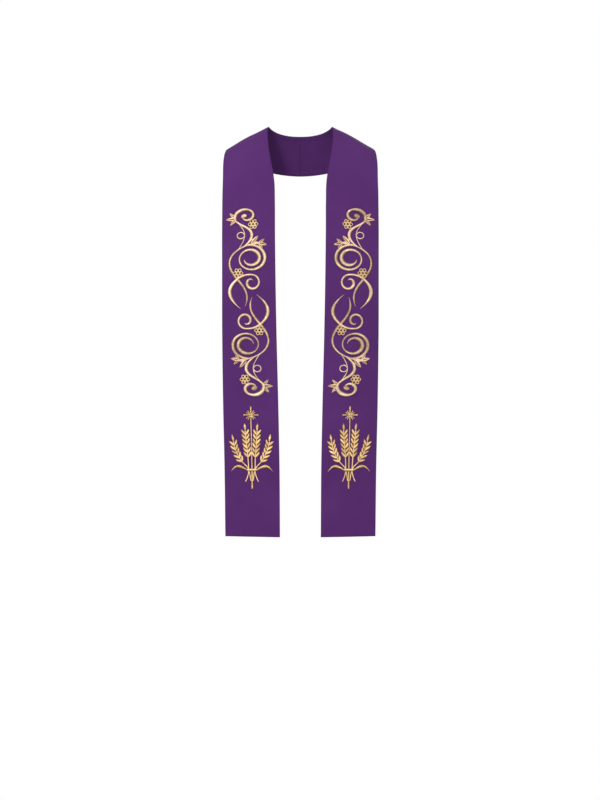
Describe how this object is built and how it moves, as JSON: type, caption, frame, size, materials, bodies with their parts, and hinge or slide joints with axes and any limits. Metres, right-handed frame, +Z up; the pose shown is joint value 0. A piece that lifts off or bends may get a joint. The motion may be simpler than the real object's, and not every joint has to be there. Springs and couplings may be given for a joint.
{
  "type": "clerical stole",
  "caption": "Worn clerical stole: shaped bands joined behind the neck and hanging straight in front, with raised embroidered vine scrolls and a cross between wheat ears.",
  "frame": {"origin": "centre of the back neckline, on the cloth's face at the centre-back seam, where the wearer's nape carries the stole", "axes": "+Z up along the hanging fronts, the fronts face -Y, +X is the wearer's left"},
  "size_m": [0.406, 0.2302, 1.0767],
  "materials": {
    "purple_cloth": "matte plain weave",
    "gold_thread": "satin stitch in glossy thread"
  },
  "bodies": {
    "root": {"band_left": "purple_cloth", "band_right": "purple_cloth", "scroll_upper_left": "gold_thread", "scroll_upper_right": "gold_thread", "scroll_lower_left": "gold_thread", "scroll_lower_right": "gold_thread", "emblem_left": "gold_thread", "emblem_right": "gold_thread"}
  },
  "joints": []
}
